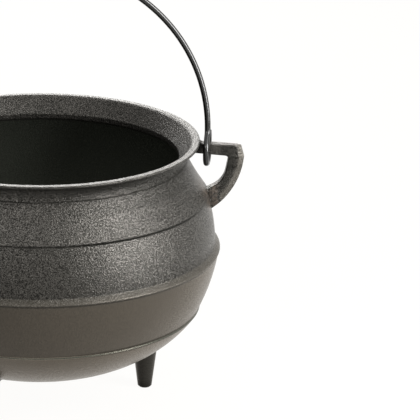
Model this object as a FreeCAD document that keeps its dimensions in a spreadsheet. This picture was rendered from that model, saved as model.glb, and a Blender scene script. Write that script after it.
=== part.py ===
import FreeCAD, Part
import math
import os
import Sketcher

# Three-legged cast iron potjie pot with two cast-on ears and a swinging wire bail.
# Millimetres, +Z up. The origin is on the floor under the middle of the pot. The ears lie along X.
# The pot is one casting: ringed belly, flared lip, ears and legs. The bail is one bent wire.

doc = FreeCAD.newDocument("potjie_pot")

# Driving sizes
# A depth is measured down from the top of the lip, a radius from the pot's upright middle line.

SIZES = [
    ("mouth_radius", 128.0, "inner edge of the lip's flat top"),
    ("land_width", 6.0, "width of the lip's flat top"),
    ("lip_height", 2.4, "height of the lip's outer face"),
    ("lip_overhang", 2.6, "flat underside of the lip before the neck's hollow begins"),
    ("lip_round", 0.8, "rounding of the lip's upper outer edge, and bevel of its other edges"),
    ("cove_radius", 9.5, "hollow of the neck under the lip"),
    ("cove_tail", 4.5, "how far the hollow runs on below the narrowest place"),
    ("bead_width", 0.8, "small step at the top of the shoulder band, across"),
    ("bead_height", 0.5, "small step at the top of the shoulder band, down"),
    ("shoulder_sweep", 170.0, "radius of the shoulder band's slight hollow"),
    ("shoulder_inset", 10.8, "lower edge of the shoulder band inside the belly ring"),
    ("shoulder_depth", 47.0, "lower edge of the shoulder band"),
    ("shoulder_edge", 0.7, "height of the shoulder band's lower edge"),
    ("shoulder_step", 1.1, "how far the upper belly band stands back under the shoulder band"),
    ("upper_sweep", 120.0, "radius of the upper belly band's bulge"),
    ("upper_height", 42.1, "height of the upper belly band"),
    ("belly_out", 18.7, "how far the belly ring, the widest place, stands out beyond the lip"),
    ("belly_ledge", 4.2, "how far the belly ring stands out from the upper belly band"),
    ("belly_rise", 3.9, "height of the belly ring's sloping upper side"),
    ("belly_edge", 0.5, "height of the belly ring's edge"),
    ("belly_step", 0.9, "how far the lower belly band stands back under the ring"),
    ("lower_sweep", 170.0, "radius of the lower belly band's bulge"),
    ("lower_height", 51.0, "height of the lower belly band with the ring's lower side"),
    ("hem_inset", 17.0, "foot of the lower belly band inside the belly ring"),
    ("hem_step", 0.8, "small ledge between the lower belly band and the bottom"),
    ("flank_radius", 115.0, "curve of the bottom's flank"),
    ("dome_radius", 300.0, "curve of the bottom's middle"),
    ("bowl_height", 54.0, "height of the bottom below the small ledge"),
    ("clearance", 26.0, "room between the bottom and the floor"),
    ("seat_width", 11.4, "width of the sloping lid seat, seen from above"),
    ("seat_depth", 14.0, "depth of the sloping lid seat"),
    ("throat_height", 4.0, "height of the throat's ring below the seat"),
    ("belly_wall", 8.7, "thickness of the wall at the belly ring"),
    ("chamber_drop", 2.3, "widest place of the inside below the ring's upper edge"),
    ("chamber_flank", 96.0, "curve of the inside's flank"),
    ("floor_wall", 5.5, "thickness of the bottom"),
    ("leg_count", 3.0, "legs round the bottom"),
    ("leg_inset", 45.8, "middle of a leg inside the foot of the lower belly band"),
    ("foot_radius", 6.1, "leg at the floor"),
    ("foot_bevel", 1.3, "bevel of a foot's edge"),
    ("leg_top_radius", 16.0, "leg where its taper reaches the height of the hem"),
    ("leg_fillet", 3.0, "fillet between a leg and the bottom"),
    ("ear_reach", 35.2, "ear's upper corner beyond the lip"),
    ("ear_belly", 2.7, "how far the ear swells beyond its upper corner"),
    ("ear_belly_drop", 9.4, "drop from the upper corner to the widest place of the ear"),
    ("ear_belly_round", 5.0, "rounding of the ear's outline at its widest place"),
    ("ear_sweep", 59.8, "radius of the ear's outer curve"),
    ("ear_foot_inset", 1.4, "foot of the outer curve inside the shoulder's edge, in the wall"),
    ("ear_foot_drop", 17.8, "foot of the outer curve below the shoulder's edge"),
    ("ear_foot_run", 8.5, "length of the ear's blind lower side, inside the pot"),
    ("bar_top_depth", 4.3, "top of the ear's bar beside the lip"),
    ("bar_top_drop", 2.1, "fall of the bar's top over its reach"),
    ("bar_bottom_depth", 12.8, "underside of the bar beside the lip"),
    ("bar_bottom_drop", 2.8, "fall of the bar's underside to the hole's corner"),
    ("hole_reach", 24.8, "upper corner of the ear's hole beyond the lip"),
    ("hole_corner", 3.0, "rounding of the hole's upper corner"),
    ("knee_reach", 20.6, "lower bend of the hole beyond the lip"),
    ("knee_depth", 37.5, "lower bend of the hole"),
    ("knee_round", 20.0, "rounding of the hole's lower bend"),
    ("apex_inset", 2.9, "lower end of the hole inside the shoulder's edge, in the wall"),
    ("apex_rise", 1.5, "lower end of the hole above the shoulder's edge"),
    ("hole_inset", 21.9, "blind side of the hole inside the shoulder's edge, in the wall"),
    ("ear_thick", 10.9, "thickness of the ear beside the lip"),
    ("ear_tip_thick", 6.2, "thickness of the ear at its upper corner"),
    ("ear_bevel", 4.2, "bevel of the ear's outer edges, across the flat flank"),
    ("ear_bevel_side", 2.0, "bevel of the ear's outer edges, through the thickness"),
    ("ear_round", 0.8, "rounding of the ear's other edges"),
    ("wire", 5.0, "thickness of the bail's wire"),
    ("hoop_gap", 4.1, "room between the lip and the bail's wire"),
    ("hoop_rise", 16.0, "middle of the bail's bow above the middle of the ear's bar"),
    ("hook_gap", 2.6, "room between the flank of the ear's bar and the hook's wire"),
    ("hook_sag", 2.8, "middle of the hook's bend below the middle of the bar"),
    ("hook_turn", 10.0, "degrees by which the hook is turned, so that its tail passes outside"),
    ("crank_lean", 46.0, "degrees by which the wire leans where it is cranked to the bar's front"),
    ("crank_radius", 6.5, "bends of the crank"),
    ("tail_rise", 6.0, "straight part of the hook's tail above the middle of the bar"),
    ("tail_bend", 8.0, "bend near the end of the tail"),
    ("tail_lean", 25.0, "degrees by which the tail's end leans back over the bar"),
    ("tail_tip", 4.0, "length of the tail's end after its bend"),
    ("tip_bevel", 0.7, "bevel round the cut end of the wire"),
    ("cut_over", 2.0, "how far a cutting outline stands past the metal"),
]

sheet = doc.addObject("Spreadsheet::Sheet", "sizes")
for row, (alias, number, meaning) in enumerate(SIZES, start=1):
    sheet.set(f"A{row}", alias)
    sheet.set(f"B{row}", str(number))
    sheet.setAlias(f"B{row}", alias)
    sheet.set(f"C{row}", meaning)
doc.recompute()

# Lengths that know both their number and their formula


class Length:
    """A number with the sheet formula that gives it: a sketch is drawn and bound with the same words."""

    def __init__(self, value, formula):
        self.value = value
        self.formula = formula

    def __add__(self, other):
        other = as_length(other)
        return Length(self.value + other.value, f"({self.formula} + {other.formula})")

    def __sub__(self, other):
        other = as_length(other)
        return Length(self.value - other.value, f"({self.formula} - {other.formula})")

    def __mul__(self, other):
        other = as_length(other)
        return Length(self.value * other.value, f"({self.formula} * {other.formula})")

    def __truediv__(self, other):
        other = as_length(other)
        return Length(self.value / other.value, f"({self.formula} / {other.formula})")

    def __neg__(self):
        return Length(-self.value, f"(-{self.formula})")


def as_length(thing):
    return thing if isinstance(thing, Length) else Length(float(thing), repr(float(thing)))


def size(alias):
    return Length(float(getattr(sheet, alias)), f"sizes.{alias}")


def root(square):
    return Length(math.sqrt(square.value), f"sqrt({square.formula})")


def sine(angle):
    return Length(math.sin(math.radians(angle.value)), f"sin({angle.formula} * 1deg)")


def cosine(angle):
    return Length(math.cos(math.radians(angle.value)), f"cos({angle.formula} * 1deg)")


# Sketching


def plane_of(body, role):
    """one of the body's own origin planes or axes"""
    for feature in body.Origin.OriginFeatures:
        if feature.Role == role:
            return feature
    raise ValueError(f"no {role} in {body.Label}")


def new_sketch(body, name, role):
    """an empty sketch on one of the body's origin planes"""
    sketch = body.newObject("Sketcher::SketchObject", name)
    sketch.AttachmentSupport = (plane_of(body, role), [""])
    sketch.MapMode = "FlatFace"
    return sketch


def bind(sketch, constraint, formula):
    index = sketch.addConstraint(constraint)
    sketch.setExpression(f"Constraints[{index}]", formula)


class Pen:
    """Draws one outline, stretch by stretch. Every held corner keeps the formulas of its place.

    A corner given with a plain 0 lies on that axis. A corner that is not held is found by the tangents.
    """

    def __init__(self, sketch, x, y):
        self.sketch = sketch
        self.here = (x, y)
        self.start = (x, y)
        self.first = None
        self.last = None

    def hold(self, piece, end, x, y):
        for kind, place, axis in (("DistanceX", x, -2), ("DistanceY", y, -1)):
            if isinstance(place, Length):
                bind(self.sketch, Sketcher.Constraint(kind, -1, 1, piece, end, place.value), place.formula)
            else:
                self.sketch.addConstraint(Sketcher.Constraint("PointOnObject", piece, end, axis))

    def join(self, piece, tail, head, x, y, held, smooth):
        """ties the new stretch to the one before it and holds the corner it leads to"""
        if self.last is None:
            self.first = (piece, tail)
            self.hold(piece, tail, *self.start)
        else:
            kind = "Tangent" if smooth else "Coincident"
            self.sketch.addConstraint(Sketcher.Constraint(kind, *self.last, piece, tail))
        if held:
            self.hold(piece, head, x, y)
        self.last = (piece, head)
        self.here = (x, y)

    def line(self, x, y, held=True, smooth=False):
        before, after = (vector_of(place) for place in (self.here, (x, y)))
        piece = self.sketch.addGeometry(Part.LineSegment(before, after), False)
        self.join(piece, 1, 2, x, y, held, smooth)
        return piece

    def arc(self, x, y, radius, side, held=True, smooth=False):
        """the shorter arc to (x, y) that stands out to the left or the right of the way"""
        before, after = (vector_of(place) for place in (self.here, (x, y)))
        along = after - before
        left = FreeCAD.Vector(-along.y, along.x, 0)
        left.normalize()
        reach = math.sqrt(max(radius.value ** 2 - (along.Length / 2) ** 2, 0.0))
        middle = (before + after) / 2 + left * (-reach if side == "left" else reach)
        begin, finish = (after, before) if side == "left" else (before, after)
        tail, head = (2, 1) if side == "left" else (1, 2)
        angles = [math.atan2(point.y - middle.y, point.x - middle.x) for point in (begin, finish)]
        circle = Part.Circle(middle, FreeCAD.Vector(0, 0, 1), radius.value)
        piece = self.sketch.addGeometry(Part.ArcOfCircle(circle, *angles), False)
        self.join(piece, tail, head, x, y, held, smooth)
        bind(self.sketch, Sketcher.Constraint("Radius", piece, radius.value), radius.formula)
        return piece

    def close(self):
        """the last straight stretch, back to the first corner"""
        piece = self.line(*self.start, held=False)
        self.sketch.addConstraint(Sketcher.Constraint("Coincident", piece, 2, *self.first))


def vector_of(place):
    return FreeCAD.Vector(as_length(place[0]).value, as_length(place[1]).value, 0)


def edges_where(feature, wanted):
    """names of the feature's edges for which wanted(edge) holds"""
    edges = feature.Shape.Edges
    return [f"Edge{number}" for number, edge in enumerate(edges, start=1) if wanted(edge)]


def across_at(x, z):
    """test for a straight edge along Y through (x, z)"""

    def wanted(edge):
        box = edge.BoundBox
        if box.XLength > 0.001 or box.ZLength > 0.001:
            return False
        return math.hypot(box.Center.x - x.value, box.Center.z - z.value) < 0.01

    return wanted


def round_edges(body, name, base, edges, radius):
    """a fillet on named edges of the feature before it"""
    feature = body.newObject("PartDesign::Fillet", name)
    feature.Base = (base, edges)
    feature.setExpression("Radius", radius.formula)
    doc.recompute()
    return feature


# Places that several features share

upper_depth = size("shoulder_depth") + size("shoulder_edge") + size("upper_height")
belly_depth = upper_depth + size("belly_rise")
hem_depth = belly_depth + size("belly_edge") + size("lower_height")
bottom_depth = hem_depth + size("hem_step") + size("bowl_height")
rim = bottom_depth + size("clearance")
lip_radius = size("mouth_radius") + size("land_width")
belly_radius = lip_radius + size("belly_out")
shoulder_radius = belly_radius - size("shoulder_inset")
shoulder_z = rim - size("shoulder_depth")
hem_radius = belly_radius - size("hem_inset")
leg_circle = hem_radius - size("leg_inset")
hoop_radius = lip_radius + size("hoop_gap") + size("wire") / 2

# The ear's bar where the hook goes round it
bar_top_slope = size("bar_top_drop") / size("ear_reach")
bar_bottom_slope = size("bar_bottom_drop") / size("hole_reach")
bar_top_at_hook = size("bar_top_depth") + bar_top_slope * (hoop_radius - lip_radius)
bar_bottom_at_hook = size("bar_bottom_depth") + bar_bottom_slope * (hoop_radius - lip_radius)
hinge_level = rim - (bar_top_at_hook + bar_bottom_at_hook) / 2

# The pot: one casting, built from its ears inwards

pot = doc.addObject("PartDesign::Body", "pot")
pot.Label = "pot"

# Side view of one ear: bar on top, curved arm outside, the hole between them.
# What lies inside the pot's outline is swallowed by the wall or cut away by the hollow.

tip_x = lip_radius + size("ear_reach")
tip_z = rim - size("bar_top_depth") - size("bar_top_drop")
belly_x = tip_x + size("ear_belly")
belly_z = tip_z - size("ear_belly_drop")
foot_x = shoulder_radius - size("ear_foot_inset")
foot_z = shoulder_z - size("ear_foot_drop")
face_depth = size("lip_height") - size("lip_round")
bar_fillet = (size("bar_top_depth") - face_depth) / (as_length(1) - bar_top_slope)
corner_x = lip_radius + size("hole_reach")
corner_z = rim - size("bar_bottom_depth") - size("bar_bottom_drop")
knee_x = lip_radius + size("knee_reach")
knee_z = rim - size("knee_depth")
apex_x = shoulder_radius - size("apex_inset")
apex_z = shoulder_z + size("apex_rise")
blind_x = shoulder_radius - size("hole_inset")
root_x = foot_x - size("ear_foot_run")
root_z = (foot_z + apex_z) / 2

ear_side = new_sketch(pot, "ear_side", "XZ_Plane")
pen = Pen(ear_side, 0, root_z)
pen.line(root_x, root_z)
pen.line(foot_x, foot_z)
pen.arc(belly_x, belly_z, size("ear_sweep"), "right")
pen.line(tip_x, tip_z)
pen.line(lip_radius + bar_fillet, rim - face_depth - bar_fillet)
pen.arc(lip_radius, rim - face_depth, bar_fillet, "left")
pen.line(0, rim - face_depth)
pen.close()
hole = Pen(ear_side, blind_x, apex_z)
hole.line(apex_x, apex_z)
hole.line(knee_x, knee_z)
hole.line(corner_x, corner_z)
hole.line(blind_x, rim - size("bar_bottom_depth") + bar_bottom_slope * (lip_radius - blind_x))
hole.close()
doc.recompute()

ear_plank = pot.newObject("PartDesign::Pad", "ear_plank")
ear_plank.Profile = ear_side
ear_plank.SideType = "Symmetric"
ear_plank.setExpression("Length", size("ear_thick").formula)
doc.recompute()

# Plan view: the ear grows thinner from the lip to its corner

half_thick = size("ear_thick") / 2
taper_end = tip_x + size("ear_belly") + size("cut_over")
taper_slope = (size("ear_thick") - size("ear_tip_thick")) / 2 / size("ear_reach")
half_end = half_thick - taper_slope * (taper_end - lip_radius)
half_over = half_thick + size("cut_over")

ear_plan = new_sketch(pot, "ear_plan", "XY_Plane")
for turn in (1, -1):
    near, end, over = (length * turn for length in (half_thick, half_end, half_over))
    pen = Pen(ear_plan, lip_radius, near)
    pen.line(taper_end, end)
    pen.line(taper_end, over)
    pen.line(lip_radius, over)
    pen.close()
doc.recompute()

ear_taper = pot.newObject("PartDesign::Pocket", "ear_taper")
ear_taper.Profile = ear_plan
ear_taper.Type = "ThroughAll"
ear_taper.Reversed = True
doc.recompute()

upper_corner = edges_where(ear_taper, across_at(corner_x, corner_z))
hole_corner = round_edges(pot, "hole_corner", ear_taper, upper_corner, size("hole_corner"))
lower_corner = edges_where(hole_corner, across_at(knee_x, knee_z))
knee_round = round_edges(pot, "knee_round", hole_corner, lower_corner, size("knee_round"))
belly_corner = edges_where(knee_round, across_at(belly_x, belly_z))
belly_round = round_edges(pot, "belly_round", knee_round, belly_corner, size("ear_belly_round"))

# The outer edges are bevelled, wider on the flanks than on the outline


def flank_edges(feature, turn, wanted_face):
    """names of the edges where the ear's flank on the side of turn meets the faces wanted"""
    seams = []
    for face in feature.Shape.Faces:
        low, high, left, right = face.ParameterRange
        outward = face.normalAt((low + high) / 2, (left + right) / 2)
        if abs(outward.y) < 0.1 and wanted_face(face, outward):
            seams.extend(face.Edges)

    def wanted(edge):
        box = edge.BoundBox
        if box.Center.y * turn < 0.5 or max(box.XLength, box.ZLength) < 0.001:
            return False
        return any(edge.isSame(other) for other in seams)

    return edges_where(feature, wanted)


def on_outline(face, outward):
    return outward.x > 0.5 and face.CenterOfMass.x > knee_x.value


def on_bar_or_hole(face, outward):
    place = face.CenterOfMass
    return place.x > lip_radius.value and place.z > knee_z.value - 8 and outward.x < 0.5


ear_bevel = belly_round
for turn, name, flipped in ((1, "bevel_back", False), (-1, "bevel_front", True)):
    bevel = pot.newObject("PartDesign::Chamfer", name)
    bevel.Base = (ear_bevel, flank_edges(ear_bevel, turn, on_outline))
    bevel.ChamferType = "Two distances"
    bevel.FlipDirection = flipped
    bevel.setExpression("Size", size("ear_bevel").formula)
    bevel.setExpression("Size2", size("ear_bevel_side").formula)
    doc.recompute()
    ear_bevel = bevel

soft_edges = flank_edges(ear_bevel, 1, on_bar_or_hole) + flank_edges(ear_bevel, -1, on_bar_or_hole)
ear_soft = round_edges(pot, "ear_soft", ear_bevel, soft_edges, size("ear_round"))

ears = pot.newObject("PartDesign::Mirrored", "ears")
ears.TransformMode = "Whole shape"
ears.MirrorPlane = (plane_of(pot, "YZ_Plane"), [""])
pot.Tip = ears
doc.recompute()

# Half section of the pot as a filled body, from the lip down to the middle of the bottom

cove_middle = lip_radius - size("lip_overhang")
cove_foot_depth = size("lip_height") + size("cove_radius") + size("cove_tail")
cove_inset = root(size("cove_radius") * size("cove_radius") - size("cove_tail") * size("cove_tail"))
cove_foot = cove_middle - cove_inset
underside = rim - size("lip_height")
shoulder_foot = shoulder_z - size("shoulder_edge")
upper_head = shoulder_foot - size("shoulder_step") / 2
belly_top = rim - belly_depth
belly_foot = belly_top - size("belly_edge")
lower_head = belly_foot - size("belly_step")
hem_z = rim - hem_depth
flank_head = hem_z - size("hem_step")
bottom_z = size("clearance")

outside = new_sketch(pot, "outside", "XZ_Plane")
pen = Pen(outside, 0, rim)
pen.line(lip_radius - size("lip_round"), rim)
pen.arc(lip_radius, rim - size("lip_round"), size("lip_round"), "left")
pen.line(lip_radius, underside + size("lip_round"))
pen.line(lip_radius - size("lip_round"), underside)
pen.line(cove_middle, underside)
pen.arc(cove_foot, rim - cove_foot_depth, size("cove_radius"), "right")
pen.line(cove_foot + size("bead_width"), rim - cove_foot_depth - size("bead_height"))
pen.arc(shoulder_radius, shoulder_z, size("shoulder_sweep"), "right")
pen.line(shoulder_radius, shoulder_foot)
pen.line(shoulder_radius - size("shoulder_step"), upper_head)
pen.arc(belly_radius - size("belly_ledge"), rim - upper_depth, size("upper_sweep"), "left")
pen.line(belly_radius, belly_top)
pen.line(belly_radius, belly_foot)
pen.line(belly_radius - size("belly_step"), lower_head)
pen.arc(hem_radius, hem_z, size("lower_sweep"), "left")
pen.line(hem_radius + size("hem_step"), flank_head)
pen.arc(hem_radius / 2, bottom_z + 8, size("flank_radius"), "left", held=False)
dome = pen.arc(0, bottom_z, size("dome_radius"), "left", smooth=True)
outside.addConstraint(Sketcher.Constraint("PointOnObject", dome, 3, -2))
pen.close()
doc.recompute()

filled = pot.newObject("PartDesign::Revolution", "filled")
filled.Profile = outside
filled.ReferenceAxis = (plane_of(pot, "Z_Axis"), [""])
filled.Angle = 360
pot.Tip = filled
doc.recompute()

# One leg, turned about its own upright line, then three of them round the bottom

leg_side = new_sketch(pot, "leg_side", "XZ_Plane")
leg_side.setExpression(".AttachmentOffset.Base.x", leg_circle.formula)
pen = Pen(leg_side, 0, 0)
pen.line(size("foot_radius") - size("foot_bevel"), 0)
pen.line(size("foot_radius"), size("foot_bevel"))
pen.line(size("leg_top_radius"), hem_z)
pen.line(0, hem_z)
pen.close()
doc.recompute()

leg = pot.newObject("PartDesign::Revolution", "leg")
leg.Profile = leg_side
leg.ReferenceAxis = (leg_side, ["V_Axis"])
leg.Angle = 360
pot.Tip = leg
doc.recompute()

legs = pot.newObject("PartDesign::PolarPattern", "legs")
legs.Originals = [leg]
legs.Axis = (plane_of(pot, "Z_Axis"), [""])
legs.Angle = 360
legs.setExpression("Occurrences", size("leg_count").formula)
pot.Tip = legs
doc.recompute()

# The hollow: mouth, sloping lid seat, throat and belly chamber, cut out of the filled body

seat_foot = rim - size("seat_depth")
throat_foot = seat_foot - size("throat_height")
throat_radius = size("mouth_radius") - size("seat_width")
chamber_radius = belly_radius - size("belly_wall")
chamber_level = belly_top - size("chamber_drop")
chamber_fall = throat_foot - chamber_level
chamber_step = chamber_radius - throat_radius
chamber_sweep = (chamber_fall * chamber_fall / chamber_step + chamber_step) / 2
inner_bottom = bottom_z + size("floor_wall")

inside = new_sketch(pot, "inside", "XZ_Plane")
pen = Pen(inside, 0, rim + size("cut_over"))
bevel_fall = size("lip_round") * size("seat_depth") / size("seat_width")
pen.line(size("mouth_radius") + size("lip_round"), rim + size("cut_over"))
pen.line(size("mouth_radius") + size("lip_round"), rim)
pen.line(size("mouth_radius") - size("lip_round"), rim - bevel_fall)
pen.line(throat_radius, seat_foot)
pen.line(throat_radius, throat_foot)
chamber = pen.arc(chamber_radius, chamber_level + 15, chamber_sweep, "left", held=False)
level = Sketcher.Constraint("DistanceY", -1, 1, chamber, 3, chamber_level.value)
bind(inside, level, chamber_level.formula)
pen.arc(chamber_radius / 2, inner_bottom + 9, size("chamber_flank"), "left", held=False, smooth=True)
bowl = pen.arc(0, inner_bottom, size("dome_radius") - size("floor_wall"), "left", smooth=True)
inside.addConstraint(Sketcher.Constraint("PointOnObject", bowl, 3, -2))
pen.close()
doc.recompute()

hollow = pot.newObject("PartDesign::Groove", "hollow")
hollow.Profile = inside
hollow.ReferenceAxis = (plane_of(pot, "Z_Axis"), [""])
hollow.Angle = 360
pot.Tip = hollow
doc.recompute()


def leg_root(edge):
    """an edge where a leg meets the bottom"""
    box = edge.BoundBox
    if box.ZMin < size("foot_bevel").value + 1 or box.ZMax > hem_z.value:
        return False
    away = math.hypot(box.Center.x, box.Center.y) - leg_circle.value
    return abs(away) < size("foot_radius").value and box.XLength > size("foot_radius").value


leg_fillet = round_edges(pot, "leg_fillet", hollow, edges_where(hollow, leg_root), size("leg_fillet"))

# The bail: one bent wire. A half-round bow over the mouth runs down into a hook round each bar.
# It is drawn standing upright, as the right half, and mirrored.

bail = doc.addObject("PartDesign::Body", "bail")
bail.Label = "bail"

hoop_level = hinge_level + size("hoop_rise")
hook_level = hinge_level - size("hook_sag")
tail_level = hinge_level + size("tail_rise")
hook_radius = half_thick + size("hook_gap") + size("wire") / 2

wire_section = new_sketch(bail, "wire_section", "XY_Plane")
wire_section.setExpression(".AttachmentOffset.Base.x", hoop_radius.formula)
wire_section.setExpression(".AttachmentOffset.Base.z", hoop_level.formula)
wire_circle = Part.Circle(FreeCAD.Vector(0, 0, 0), FreeCAD.Vector(0, 0, 1), (size("wire") / 2).value)
piece = wire_section.addGeometry(wire_circle, False)
wire_section.addConstraint(Sketcher.Constraint("Coincident", piece, 3, -1, 1))
wire_radius = Sketcher.Constraint("Radius", piece, (size("wire") / 2).value)
bind(wire_section, wire_radius, (size("wire") / 2).formula)

bow_path = new_sketch(bail, "bow_path", "XZ_Plane")
pen = Pen(bow_path, hoop_radius, hoop_level)
pen.arc(0, hoop_level + hoop_radius, hoop_radius, "right")

# The hook lies in an upright plane through the end of the bow, turned about the upright line.
# From above: cranked to the front, down past the bar, round under it, up behind it, tail leaning back.

crank_out = size("crank_radius") * (as_length(1) - cosine(size("crank_lean")))
crank_down = size("crank_radius") * sine(size("crank_lean"))
crank_run = (hook_radius - crank_out * 2) / sine(size("crank_lean"))
lean_down = crank_run * cosine(size("crank_lean"))
tail_in = size("tail_bend") * (as_length(1) - cosine(size("tail_lean")))
tail_up = size("tail_bend") * sine(size("tail_lean"))

hook_turned = -size("hook_turn")
hook_path = new_sketch(bail, "hook_path", "YZ_Plane")
hook_path.AttachmentOffset = FreeCAD.Placement(
    FreeCAD.Vector(0, 0, hoop_radius.value), FreeCAD.Rotation(FreeCAD.Vector(0, 1, 0), hook_turned.value)
)
hook_path.setExpression(".AttachmentOffset.Base.z", hoop_radius.formula)
hook_path.setExpression(".AttachmentOffset.Rotation.Angle", hook_turned.formula)
pen = Pen(hook_path, 0, hoop_level)
pen.arc(-crank_out, hoop_level - crank_down, size("crank_radius"), "left")
pen.line(crank_out - hook_radius, hoop_level - crank_down - lean_down)
pen.arc(-hook_radius, hoop_level - crank_down * 2 - lean_down, size("crank_radius"), "right")
pen.line(-hook_radius, hook_level)
pen.arc(0, hook_level - hook_radius, hook_radius, "right")
pen.arc(hook_radius, hook_level, hook_radius, "right")
pen.line(hook_radius, tail_level)
pen.arc(hook_radius - tail_in, tail_level + tail_up, size("tail_bend"), "right")
tip_s = hook_radius - tail_in - size("tail_tip") * sine(size("tail_lean"))
tip_height = tail_level + tail_up + size("tail_tip") * cosine(size("tail_lean"))
pen.line(tip_s, tip_height)
doc.recompute()

for name, path in (("bow", bow_path), ("hook", hook_path)):
    pipe = bail.newObject("PartDesign::AdditivePipe", name)
    pipe.Profile = wire_section
    pipe.Spine = (path, [""])
    bail.Tip = pipe
    doc.recompute()


def wire_end(edge):
    """the rim of the cut end of the hook's tail"""
    box = edge.BoundBox
    return abs(box.Center.z - tip_height.value) < 0.2 and box.DiagonalLength < 2 * size("wire").value


tip_bevel = bail.newObject("PartDesign::Chamfer", "tip_bevel")
tip_bevel.Base = (pipe, edges_where(pipe, wire_end))
tip_bevel.setExpression("Size", size("tip_bevel").formula)
bail.Tip = tip_bevel
doc.recompute()

whole_bail = bail.newObject("PartDesign::Mirrored", "whole_bail")
whole_bail.TransformMode = "Whole shape"
whole_bail.MirrorPlane = (plane_of(bail, "YZ_Plane"), [""])
bail.Tip = whole_bail
doc.recompute()
print("hinge level", round(hinge_level.value, 3))

# Every object must be sound before the pieces are written

for thing in doc.Objects:
    if "Invalid" in thing.State or "Error" in thing.State:
        raise RuntimeError(f"{thing.Name} is not sound: {thing.State}")
os.makedirs("parts", exist_ok=True)
for body in (pot, bail):
    if body.Shape.isNull() or not body.Shape.isValid() or len(body.Shape.Solids) != 1:
        raise RuntimeError(f"{body.Label} is not one sound solid")
    body.Shape.exportStep(f"parts/{body.Label}.step")
    print(body.Label, "volume", round(body.Shape.Volume / 1000, 1), "cubic centimetres")
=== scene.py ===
# %% [markdown]
# # A sand-cast potjie pot on white
# The pot and its wire bail come ready-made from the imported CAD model, at their true size and place.
# They could be modelled again here, but the CAD meshes already have every edge of the casting. So this
# scene only gives them their looks: oiled, sand-cast iron and black wire, on a white table in soft
# studio light, seen from the photographer's place.

# %% Load the frame
import math

import bmesh
import bpy
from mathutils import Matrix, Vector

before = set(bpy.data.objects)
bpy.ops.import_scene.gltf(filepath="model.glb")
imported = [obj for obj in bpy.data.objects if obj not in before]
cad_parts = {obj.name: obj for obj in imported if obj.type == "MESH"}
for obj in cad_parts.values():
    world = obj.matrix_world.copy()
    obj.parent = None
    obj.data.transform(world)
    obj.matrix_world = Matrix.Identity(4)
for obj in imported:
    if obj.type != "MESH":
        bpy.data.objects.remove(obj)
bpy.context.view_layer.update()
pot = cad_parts["pot"]
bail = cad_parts["bail"]


# %% [markdown]
# ## Small helpers for materials
# A material is a net of nodes. It could be wired socket by socket, but that hides the recipe. `Net` adds
# nodes and joins their sockets in one line each, so that the materials below read like recipes.

# %% A net of shader nodes
class Net:
    def __init__(self, tree):
        self.tree = tree
        tree.nodes.clear()

    def add(self, kind, settings=None, **inputs):
        """a new node, with its settings and what its sockets get"""
        node = self.tree.nodes.new(kind)
        for name, value in (settings or {}).items():
            setattr(node, name, value)
        for name, value in inputs.items():
            self.feed(node.inputs[name.replace("_", " ")], value)
        return node

    def feed(self, socket, value):
        """a link from another socket, or a plain value"""
        if isinstance(value, bpy.types.NodeSocket):
            self.tree.links.new(value, socket)
        else:
            socket.default_value = value

    def math(self, operation, *values):
        node = self.add("ShaderNodeMath", {"operation": operation})
        for socket, value in zip(node.inputs, values):
            self.feed(socket, value)
        return node.outputs[0]

    def product(self, first, *others):
        """all the values multiplied: as masks, the place where all of them hold"""
        result = first
        for value in others:
            result = self.math("MULTIPLY", result, value)
        return result

    def inverse(self, mask):
        return self.math("SUBTRACT", 1.0, mask)

    def distance(self, value, level):
        """how far a value is from a level, up or down"""
        return self.math("ABSOLUTE", self.math("SUBTRACT", value, level))

    def dim(self, amount, mask, share):
        """the amount, less a share of it where the mask is 1"""
        return self.product(amount, self.math("MULTIPLY_ADD", mask, -share, 1.0))

    def step(self, value, low, high, at_low=0.0, at_high=1.0):
        """a soft step, from at_low where the value is low to at_high where it is high"""
        node = self.add("ShaderNodeMapRange", {"interpolation_type": "SMOOTHSTEP"})
        for name, number in (
            ("Value", value),
            ("From Min", low),
            ("From Max", high),
            ("To Min", at_low),
            ("To Max", at_high),
        ):
            self.feed(node.inputs[name], number)
        return node.outputs["Result"]

    def noise(self, vector, scale, detail=2.0, roughness=0.5):
        node = self.add("ShaderNodeTexNoise", Vector=vector, Scale=scale, Detail=detail, Roughness=roughness)
        return node.outputs["Fac"]

    def mix(self, factor, first, second):
        """from the first number to the second"""
        node = self.add("ShaderNodeMix", {"data_type": "FLOAT"})
        for socket, value in zip(node.inputs, (factor, None, first, second)):
            if value is not None:
                self.feed(socket, value)
        return node.outputs[0]

    def blend(self, factor, first, second):
        """from the first colour to the second"""
        node = self.add("ShaderNodeMix", {"data_type": "RGBA"})
        self.feed(node.inputs["Factor"], factor)
        colours = [socket for socket in node.inputs if socket.type == "RGBA"]
        self.feed(colours[0], first)
        self.feed(colours[1], second)
        return [socket for socket in node.outputs if socket.type == "RGBA"][0]


print("net of nodes ready")


# %% A new material
def new_material(name):
    material = bpy.data.materials.new(name)
    material.use_nodes = True
    return material, Net(material.node_tree)


print("material helper ready")

# %% [markdown]
# ## The iron: print of the sand
# Iron cast in sand keeps the print of the grains. On the lip and the upper bands they are about a
# millimetre across; under the belly ring the skin is finer and smoother. The grain could be pushed into
# the mesh, but that would take millions of faces. One noise pattern drives bump, tone and gloss
# together instead, so that a raised grain is also a lighter and glossier one.
#
# All heights below are metres above the table, and all distances are metres from the pot's upright
# axis or along X. A pair such as `finer_below` holds the two ends of a soft change. The sizes were drawn
# on a pot 0.226 m high to its rim. They could be used as they are, but then a larger casting would wear
# its marks beside its edges, so the place is scaled from the real pot's height to the drawn one first.
# The grains keep their true size.

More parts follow.
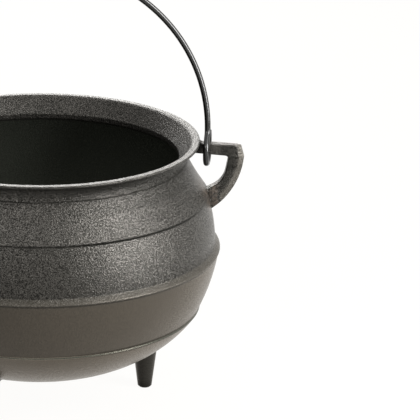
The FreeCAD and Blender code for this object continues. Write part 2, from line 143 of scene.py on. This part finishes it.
# %% Places that follow the pot's height
drawn_height = 0.226
pot_height = max(vertex.co.z for vertex in pot.data.vertices)
follow = drawn_height / pot_height
iron, net = new_material("iron")
place = net.add("ShaderNodeTexCoord").outputs["Object"]
drawn = net.add("ShaderNodeVectorMath", {"operation": "SCALE"}, Vector=place, Scale=follow)
split = net.add("ShaderNodeSeparateXYZ", Vector=drawn.outputs["Vector"])
across = split.outputs["X"]
along = split.outputs["Y"]
height = split.outputs["Z"]
print("pot", round(pot_height, 4), "m to the rim, places scaled by", round(follow, 4))

# %% Grain and casting lumps
finer_below = (0.128, 0.136)
grain_scale = 1000.0
grain_roughness = 0.55
lump_scale = 60.0
rough_skin = net.step(height, *finer_below)
grain = net.noise(place, grain_scale, roughness=grain_roughness)
lumps = net.noise(place, lump_scale)
print("grain", grain_scale, "lumps", lump_scale, "rough skin above", finer_below)

# %% Relief and soft edges
finer_depth = 0.35
lump_depth = 0.25
relief_height = 0.0005
edge_radius = 0.0014
few_samples = {"samples": 6}
grain_depth = net.math("MULTIPLY_ADD", rough_skin, 1.0 - finer_depth, finer_depth)
relief = net.math("MULTIPLY_ADD", lumps, lump_depth, net.product(grain, grain_depth))
soft_edges = net.add("ShaderNodeBevel", few_samples, Radius=edge_radius).outputs["Normal"]
bump = net.add("ShaderNodeBump", Strength=1.0, Distance=relief_height, Height=relief, Normal=soft_edges)
print("relief", relief_height, "m, edges rounded by", edge_radius, "m")

# %% [markdown]
# ## The iron: where is what
# The pot is one casting and so one mesh, but its legs, its inside and the seat of a lid each have their own
# tone, and the ears carry painted light and painted shade. They could be painted on by hand. Here each gets
# a mask, a value of 1 on it and 0 elsewhere, worked out from the height, the distance from the axis and the
# way a face looks, because that needs no unwrapped surface. The legs are all that lies below a bowl-shaped
# surface just under the pot's bottom. The inside is what looks towards the axis, with the part of the bottom
# that looks up.

# %% Distance from the axis, and the way a face looks
away_squared = net.math("ADD", net.product(across, across), net.product(along, along))
away = net.math("SQRT", away_squared)
facing = net.add("ShaderNodeSeparateXYZ", Vector=net.add("ShaderNodeTexCoord").outputs["Normal"])
upward = facing.outputs["Z"]
outward = net.math("ADD", net.product(facing.outputs["X"], across), net.product(facing.outputs["Y"], along))
print("nodes so far", len(net.tree.nodes))

# %% Legs, inside and lid seat
dome_rise = 2.2
dome_start = 0.021
inside_reach = 0.1446
looks_up = (0.2, 0.4)
under_belly = (0.133, 0.129)
looks_in = (-0.01, -0.03)
seat_start = (0.205, 0.207)
leg = net.math("LESS_THAN", height, net.math("MULTIPLY_ADD", away_squared, dome_rise, dome_start))
inner_bottom = net.product(net.step(upward, *looks_up), net.step(height, *under_belly))
inward = net.math("MAXIMUM", inner_bottom, net.step(outward, *looks_in))
inward = net.product(inward, net.math("LESS_THAN", away, inside_reach), net.inverse(leg))
outside = net.inverse(inward)
seat = net.product(inward, net.step(height, *seat_start))
print("inside up to", inside_reach, "m from the axis, lid seat from", seat_start[0], "m up")

# %% Ears
ear_start = (0.1510, 0.1530)
arm_centre_x = 0.1122
arm_centre_z = 0.2143
arm_x = net.math("SUBTRACT", net.math("ABSOLUTE", across), arm_centre_x)
arm_z = net.math("SUBTRACT", height, arm_centre_z)
arm_reach = net.math("SQRT", net.math("ADD", net.product(arm_x, arm_x), net.product(arm_z, arm_z)))
ear = net.step(away, *ear_start)
print("ears from", ear_start[0], "m out, their arms curve about", (arm_centre_x, arm_centre_z))

# %% [markdown]
# ## The iron: colours
# Burnt-in oil makes the iron a dark grey-brown. The upper bands are nearly black between the grains, the
# lower band is browner, the bowl under the hem paler, the inside a greyer olive. One flat colour would
# look like paint, so each skin runs between two tones with the grain.

# %% Bands and bowl
grain_contrast = (0.36, 0.64)
bowl_start = (0.0815, 0.0795)
upper_tones = ((0.006, 0.0057, 0.0049, 1), (0.029, 0.0275, 0.0238, 1))
lower_tones = ((0.040, 0.035, 0.028, 1), (0.051, 0.044, 0.0345, 1))
bowl_tones = ((0.056, 0.047, 0.035, 1), (0.068, 0.056, 0.041, 1))
tone = net.step(grain, *grain_contrast)
colour = net.blend(rough_skin, net.blend(tone, *lower_tones), net.blend(tone, *upper_tones))
colour = net.blend(net.step(height, *bowl_start), colour, net.blend(tone, *bowl_tones))
print("bands and bowl coloured, bowl from", bowl_start[0], "m down")

# %% Legs, inside and lid seat in colour
leg_colour = (0.016, 0.0155, 0.0135, 1)
inside_colour = (0.038, 0.041, 0.033, 1)
seat_tones = ((0.008, 0.008, 0.007, 1), (0.030, 0.028, 0.025, 1))
colour = net.blend(leg, colour, leg_colour)
colour = net.blend(inward, colour, inside_colour)
colour = net.blend(seat, colour, net.blend(tone, *seat_tones))
print("legs", leg_colour[:3], "inside", inside_colour[:3])

# %% [markdown]
# ## The iron: painted highlights and a seam
# Some edges are painted lighter where light catches them: painted highlights on the hem between the
# lower band and the bowl, on the ledge over the belly ring, and on the outer bevel and the top of each ear.
# Where the ear's lower root meets the band, a brownish, crumbly patch is left of the mould's seam.
# It could be a piece of its own, but on the real pot it is only a change of skin,
# so it is one here.

# %% Painted highlights on the hem and the ledge
hem_level = 0.0804
hem_width = (0.0011, 0.0006)
hem_change = (0.0, 0.08)
hem_highlight_left_colour = (0.19, 0.165, 0.13, 1)
hem_highlight_right_colour = (0.075, 0.065, 0.05, 1)
ledge_bottom = (0.1315, 0.1325)
ledge_top = (0.1378, 0.1366)
ledge_looks_up = (0.3, 0.5)
ledge_highlight_colour = (0.032, 0.029, 0.023, 1)
# Painted highlight: a light line along the hem, lighter towards negative X than towards positive X.
hem = net.distance(height, hem_level)
rightward = net.step(across, *hem_change)
painted_hem_highlight = net.product(outside, net.step(hem, *hem_width))
colour = net.blend(painted_hem_highlight, colour, net.blend(rightward, hem_highlight_left_colour, hem_highlight_right_colour))
# Painted highlight: the upward faces of the ledge over the belly ring are painted lighter.
ledge = net.product(net.step(height, *ledge_bottom), net.step(height, *ledge_top))
ledge = net.product(ledge, outside, net.step(upward, *ledge_looks_up))
colour = net.blend(ledge, colour, ledge_highlight_colour)
print("hem rubbed at", hem_level, "m, ledge at", ledge_bottom[1], "m")

# %% Seam patch by the ear's root
patch_sides = (0.036, 0.012)
patch_bottom = (0.162, 0.170)
patch_top = (0.198, 0.184)
patch_end = (0.1510, 0.1490)
crumb_scale = 420.0
crumb_detail = 3.0
crumb_roughness = 0.7
crumb_contrast = (0.40, 0.58)
patch_colour = (0.066, 0.053, 0.043, 1)
crumbs = net.noise(place, crumb_scale, crumb_detail, crumb_roughness)
patch = net.product(
    net.step(net.math("ABSOLUTE", along), *patch_sides),
    net.step(height, *patch_bottom),
    net.step(height, *patch_top),
    net.step(away, *patch_end),
    net.step(crumbs, *crumb_contrast),
    outside,
)
colour = net.blend(patch, colour, patch_colour)
print("seam patch between", patch_bottom[1], "and", patch_top[1], "m up")

# %% Painted light on the ear's outer bevel and top
bevel_start = (0.0530, 0.0565)
bevel_highlight_tones = ((0.036, 0.033, 0.027, 1), (0.064, 0.059, 0.050, 1))
top_looks_up = (0.6, 0.9)
top_level = 0.216
ear_top_highlight_colour = (0.105, 0.095, 0.087, 1)
# Painted highlight: the outer bevel and the top face of each ear are painted lighter where light falls on
# them.
outer_bevel = net.product(ear, net.step(arm_reach, *bevel_start))
colour = net.blend(outer_bevel, colour, net.blend(tone, *bevel_highlight_tones))
top_face = net.product(ear, net.step(upward, *top_looks_up), net.math("GREATER_THAN", height, top_level))
colour = net.blend(top_face, colour, ear_top_highlight_colour)
print("ear's bevel from", bevel_start[0], "m, its top over", top_level, "m")

# %% [markdown]
# ## The iron: painted shade
# Hollows are painted darker and lose gloss: painted shade. An Ambient Occlusion node finds the hollows of
# the mesh and could do it alone, but it smears the fine ones. So the narrow marks are set by their height:
# painted shadow at the bottom of the groove between the bands and in the line under the belly ring,
# painted shade in a strip on the shoulder, along the hem and under the lip. `shade` is 1 on unshaded skin
# and falls where painted shade sits. The painted shade is heavier on the side towards positive X, so each
# such mark has a range of X over which it grows.

# %% Painted shade in hollows and on the inner arm of the ear
hollow_distance = 0.012
hollow_depth = (0.4, 0.95)
deepest_shade = 0.25
hem_clear = (0.006, 0.003)
inner_arm_start = (0.0545, 0.0510)
inner_arm_shade_share = 0.45
# Painted shade: the occlusion darkens colour and highlight in the hollows.
hollow = net.add("ShaderNodeAmbientOcclusion", few_samples, Distance=hollow_distance).outputs["AO"]
shade = net.step(hollow, *hollow_depth, deepest_shade, 1.0)
shade = net.math("MAXIMUM", net.step(hem, *hem_clear), shade)
# Painted shade: the inner arm of each ear is painted darker.
shade = net.dim(shade, net.product(ear, net.step(arm_reach, *inner_arm_start)), inner_arm_shade_share)
print("hollows within", hollow_distance, "m shaded")

# %% Painted shadow in the groove between the bands and under the belly ring
groove_level = 0.1779
groove_end = (0.1425, 0.1432)
groove_width = (0.0007, 0.0018)
groove_change = (0.0, 0.05)
groove_left_shade = 0.85
groove_right_shade = 0.12
ring_line_level = 0.1308
ring_line_width = (0.0004, 0.0012)
ring_line_shade = 0.5
# Painted shadow: a dark line at the groove, strongest towards positive X, and another under the belly ring.
groove = net.math("MAXIMUM", net.distance(height, groove_level), net.step(away, *groove_end))
groove = net.math("MAXIMUM", groove, inward)
groove_shade = net.step(across, *groove_change, groove_left_shade, groove_right_shade)
shade = net.product(shade, net.step(groove, *groove_width, groove_shade, 1.0))
ring_line = net.math("MAXIMUM", net.distance(height, ring_line_level), inward)
shade = net.product(shade, net.step(ring_line, *ring_line_width, ring_line_shade, 1.0))
print("dark lines at", groove_level, "and", ring_line_level, "m")

# %% Painted shade under the lip
lip_shade_bottom = (0.199, 0.212)
lip_shade_top = (0.2215, 0.2185)
lip_shade_reach = 0.1342
lip_change = (-0.01, 0.05)
lip_left_part = 0.2
lip_share = 0.45
# Painted shade under the lip, weaker towards negative X.
under_lip = net.product(
    net.step(height, *lip_shade_bottom),
    net.step(height, *lip_shade_top),
    net.step(across, *lip_change, lip_left_part, 1.0),
    net.math("LESS_THAN", away, lip_shade_reach),
    outside,
)
shade = net.dim(shade, under_lip, lip_share)
print("shade under the lip up to", lip_shade_top[1], "m")

# %% Painted shade on the shoulder and along the hem
shoulder_shade_level = 0.1998
shoulder_shade_width = (0.0045, 0.0015)
shoulder_shade_change = (0.0, 0.06)
shoulder_shade_share = 0.3
hem_shade_level = 0.0808
hem_shade_width = (0.0026, 0.0018)
hem_shade_share = 0.55
# Painted shade: a dark strip on the shoulder, growing towards positive X.
shoulder_shade = net.step(net.distance(height, shoulder_shade_level), *shoulder_shade_width)
shade = net.dim(shade, net.product(shoulder_shade, outside, net.step(across, *shoulder_shade_change)), shoulder_shade_share)
# Painted shade: a dark line along the hem, growing towards positive X.
hem_shade = net.step(net.distance(height, hem_shade_level), *hem_shade_width)
shade = net.dim(shade, net.product(hem_shade, outside, rightward), hem_shade_share)
print("shoulder darkened at", shoulder_shade_level, "m, soot at", hem_shade_level, "m")

# %% [markdown]
# ## The iron: gloss
# Oiled iron shines softly, and the raised grains shine most, because oil and rubbing polish them. One
# even gloss would look like plastic, so the roughness and the strength of the highlight follow the same
# grain as the bump. A little metal in the shader and a warm tint of the highlight give the iron's hue.

# %% Gloss of the grain
gloss_contrast = (0.3, 0.7)
low_grain_roughness = 0.34
high_grain_roughness = 0.22
glint_contrast = (0.36, 0.66)
lower_glints = (0.22, 0.34)
upper_glints = (0.10, 0.78)
seat_glint_share = 0.55
leg_glint = 0.2
gloss = net.step(grain, *gloss_contrast, low_grain_roughness, high_grain_roughness)
glint_low = net.mix(rough_skin, lower_glints[0], upper_glints[0])
glint_high = net.mix(rough_skin, lower_glints[1], upper_glints[1])
glint = net.step(grain, *glint_contrast, glint_low, glint_high)
glint = net.mix(seat, glint, net.product(glint, seat_glint_share))
glint = net.product(shade, net.mix(leg, glint, leg_glint))
print("roughness", low_grain_roughness, "between the grains,", high_grain_roughness, "on them")

# %% Iron shader
painted_shade_colour = (0.006, 0.006, 0.005, 1)
lower_tint = (1.0, 0.87, 0.73, 1)
upper_tint = (1.0, 0.95, 0.88, 1)
metal_share = 0.2
# Where painted shade sits, the base colour falls towards the near-black painted shade colour.
skin = net.add(
    "ShaderNodeBsdfPrincipled",
    Base_Color=net.blend(shade, painted_shade_colour, colour),
    Roughness=gloss,
    Specular_IOR_Level=glint,
    Specular_Tint=net.blend(rough_skin, lower_tint, upper_tint),
    Metallic=metal_share,
    Normal=bump.outputs["Normal"],
)
net.add("ShaderNodeOutputMaterial", Surface=skin.outputs["BSDF"])
pot.data.materials.clear()
pot.data.materials.append(iron)
print("iron on", pot.name, len(pot.data.polygons), "faces,", len(net.tree.nodes), "nodes")

# %% [markdown]
# ## The wire
# The bail is black lacquered wire: nearly black, with thin bright lines where it mirrors the lamps. A
# plain glossy black would do from afar. A faint ripple in the lacquer breaks the lines up close, as on
# wire that was bent and dipped.

# %% Wire material
ripple_scale = 260.0
ripple_contrast = (0.3, 0.7)
ripple_height = 0.0004
ripple_strength = 0.15
lacquer_colour = (0.006, 0.006, 0.005, 1)
lacquer_smooth = 0.15
lacquer_dull = 0.26
lacquer_shine = 0.5
wire, net = new_material("wire")
place = net.add("ShaderNodeTexCoord").outputs["Object"]
ripple = net.noise(place, ripple_scale)
waves = net.add("ShaderNodeBump", Strength=ripple_strength, Distance=ripple_height, Height=ripple)
lacquer = net.add(
    "ShaderNodeBsdfPrincipled",
    Base_Color=lacquer_colour,
    Roughness=net.step(ripple, *ripple_contrast, lacquer_smooth, lacquer_dull),
    Specular_IOR_Level=lacquer_shine,
    Normal=waves.outputs["Normal"],
)
net.add("ShaderNodeOutputMaterial", Surface=lacquer.outputs["BSDF"])
bail.data.materials.clear()
bail.data.materials.append(wire)
print("wire on", bail.name, len(bail.data.polygons), "faces")

# %% [markdown]
# ## White table
# The picture's ground is plain white. More light would make it white, but would spoil the pot. Instead
# the camera, and every ray that the iron or the wire mirrors, sees a table that glows as bright as
# paper, with a little matt white in it that takes a faint shadow. Diffuse light gets an uneven glow,
# which stands for white cards laid round the pot: strong close by on the right, weaker elsewhere.

# %% Table top
table_reach = 6.0
sheet = bmesh.new()
bmesh.ops.create_grid(sheet, x_segments=1, y_segments=1, size=table_reach)
table_mesh = bpy.data.meshes.new("table")
sheet.to_mesh(table_mesh)
sheet.free()
table = bpy.data.objects.new("table", table_mesh)
bpy.context.scene.collection.objects.link(table)
print("table top", len(table_mesh.polygons), "face,", table_reach, "m each way")


# %% Rays that see plain white
def plain_white(net):
    """1 for camera rays and for what glossy and clear surfaces show, 0 for diffuse light"""
    ray = net.add("ShaderNodeLightPath").outputs
    mirrored = net.math("MAXIMUM", ray["Is Glossy Ray"], ray["Is Transmission Ray"])
    return net.math("MAXIMUM", ray["Is Camera Ray"], mirrored)


print("ray helper ready")

# %% Bearing and distance on the table
paper, net = new_material("paper")
place = net.add("ShaderNodeTexCoord").outputs["Object"]
bearing = net.add("ShaderNodeVectorMath", {"operation": "NORMALIZE"}, Vector=place).outputs["Vector"]
split = net.add("ShaderNodeSeparateXYZ", Vector=bearing)
table_away = net.add("ShaderNodeVectorMath", {"operation": "LENGTH"}, Vector=place).outputs["Value"]


def towards(azimuth):
    """how far the bearing points towards an azimuth in degrees, from 1 down to -1"""
    east = net.math("MULTIPLY", split.outputs["X"], math.cos(math.radians(azimuth)))
    return net.math("MULTIPLY_ADD", split.outputs["Y"], math.sin(math.radians(azimuth)), east)


print("bearings ready")


# %% Cards round the pot
def card(azimuth, spread, glows, distances, parts=(0.0, 1.0)):
    """a card's glow, which changes with the bearing inside spread and, in part, over the distances"""
    by_bearing = net.step(towards(azimuth), *spread, *glows)
    by_distance = net.step(table_away, *distances, *parts)
    return net.product(by_bearing, by_distance)


foot_away = (0.12, 0.19)
foot_glow = 0.7
front = card(35, spread=(-0.1, 0.2), glows=(1.1, 0.05), distances=(0.5, 1.0), parts=(1.0, 0.4))
side = card(35, spread=(0.3, 0.85), glows=(0.0, 4.5), distances=(0.33, 0.6), parts=(1.0, 0.05))
under_key = card(-25, spread=(0.8, 0.98), glows=(0.0, 0.6), distances=(0.5, 0.8))
behind = card(75, spread=(0.75, 0.95), glows=(0.0, 1.1), distances=(0.4, 0.6))
cards = net.math("ADD", net.math("ADD", front, side), net.math("ADD", under_key, behind))
card_glow = net.mix(net.step(table_away, *foot_away), foot_glow, cards)
print("cards laid, glow", foot_glow, "at the pot's foot")

# %% Paper shader
paper_white = (1.0, 0.993, 0.978, 1)
matt_white = (0.86, 0.86, 0.86, 1)
glow_share = 0.97
strength = net.mix(plain_white(net), card_glow, 1.0)
matt = net.add("ShaderNodeBsdfDiffuse", Color=matt_white)
glow = net.add("ShaderNodeEmission", Color=paper_white, Strength=strength)
seen = net.add("ShaderNodeMixShader", Fac=glow_share)
net.feed(seen.inputs[1], matt.outputs[0])
net.feed(seen.inputs[2], glow.outputs[0])
net.add("ShaderNodeOutputMaterial", Surface=seen.outputs[0])
table_mesh.materials.append(paper)
print("paper on the table")

# %% [markdown]
# ## Surroundings
# The room is white to the camera and in reflections, as the table is. For diffuse light it is dim at
# the level of the pot and a little lighter overhead, so that the lamps shape the pot, not the room.

# %% World
overhead = (0.5, 0.9)
wall_level = 0.06
ceiling_level = 0.35
world = bpy.data.worlds.new("studio")
bpy.context.scene.world = world
world.use_nodes = True
net = Net(world.node_tree)
way = net.add("ShaderNodeTexCoord").outputs["Generated"]
up = net.add("ShaderNodeSeparateXYZ", Vector=way).outputs["Z"]
room = net.step(up, *overhead, wall_level, ceiling_level)
level = net.math("MAXIMUM", room, plain_white(net))
sky = net.add("ShaderNodeBackground", Color=paper_white, Strength=level)
net.add("ShaderNodeOutputWorld", Surface=sky.outputs[0])
print("room", wall_level, "at the walls,", ceiling_level, "overhead")

# %% [markdown]
# ## Softboxes
# The photo's pot has one bright upright patch right of its middle, a soft light from the left, a bright
# rim, and light on the lid seat and on the shoulder. Point lamps would give hard spots, so each of
# these is a rectangular lamp, with the size and the shape of the patch that it leaves on the iron.

# %% A softbox
belly = (0.0, 0.0, 0.15)


def softbox(name, azimuth, elevation, distance, width, tall, watts):
    """a rectangular lamp that looks at the belly of the pot from the given side, in degrees and metres"""
    light = bpy.data.lights.new(name, "AREA")
    light.shape = "RECTANGLE"
    light.size = width
    light.size_y = tall
    light.energy = watts
    turn = math.radians(azimuth)
    rise = math.radians(elevation)
    away_from_belly = Vector(
        (
            distance * math.cos(turn) * math.cos(rise),
            distance * math.sin(turn) * math.cos(rise),
            distance * math.sin(rise),
        )
    )
    lamp = bpy.data.objects.new(name, light)
    lamp.location = Vector(belly) + away_from_belly
    lamp.rotation_euler = (-away_from_belly).to_track_quat("-Z", "Y").to_euler()
    bpy.context.scene.collection.objects.link(lamp)
    return lamp


print("softboxes will look at", belly)

# %% Place the softboxes
softbox("key", azimuth=-28, elevation=18, distance=1.2, width=0.36, tall=1.15, watts=33.0)
softbox("fill", azimuth=-113, elevation=37, distance=1.7, width=0.9, tall=0.55, watts=9.0)
softbox("back", azimuth=95, elevation=24, distance=1.7, width=1.0, tall=0.5, watts=16.0)
softbox("top", azimuth=90, elevation=76, distance=1.6, width=1.0, tall=0.8, watts=14.0)
softbox("brow", azimuth=-15, elevation=56, distance=1.5, width=0.9, tall=0.3, watts=4.5)
print("lamps", sorted(light.name for light in bpy.data.lights))

# %% [markdown]
# ## Camera
# The photograph was taken from a little above the rim with a long lens, and the pot stands far to the
# left in it. A shifted lens could frame that too, but it would stay shifted in every other view, so the
# camera looks past the pot's right side instead.

# %% Camera
camera_place = (0.0, -2.07949, 0.86685)
camera_tilt = 71.2942
camera_roll = -1.0684
camera_turn = -3.5974
film_width = 36.0
focal_length = 221.45
lens = bpy.data.cameras.new("camera")
lens.sensor_width = film_width
lens.lens = focal_length
lens.clip_start = 0.05
lens.clip_end = 50.0
camera = bpy.data.objects.new("camera", lens)
camera.location = camera_place
camera.rotation_euler = [math.radians(angle) for angle in (camera_tilt, camera_roll, camera_turn)]
bpy.context.scene.collection.objects.link(camera)
bpy.context.scene.camera = camera
bpy.context.scene.view_settings.view_transform = "Standard"
print("camera at", camera_place, "lens", lens.lens)
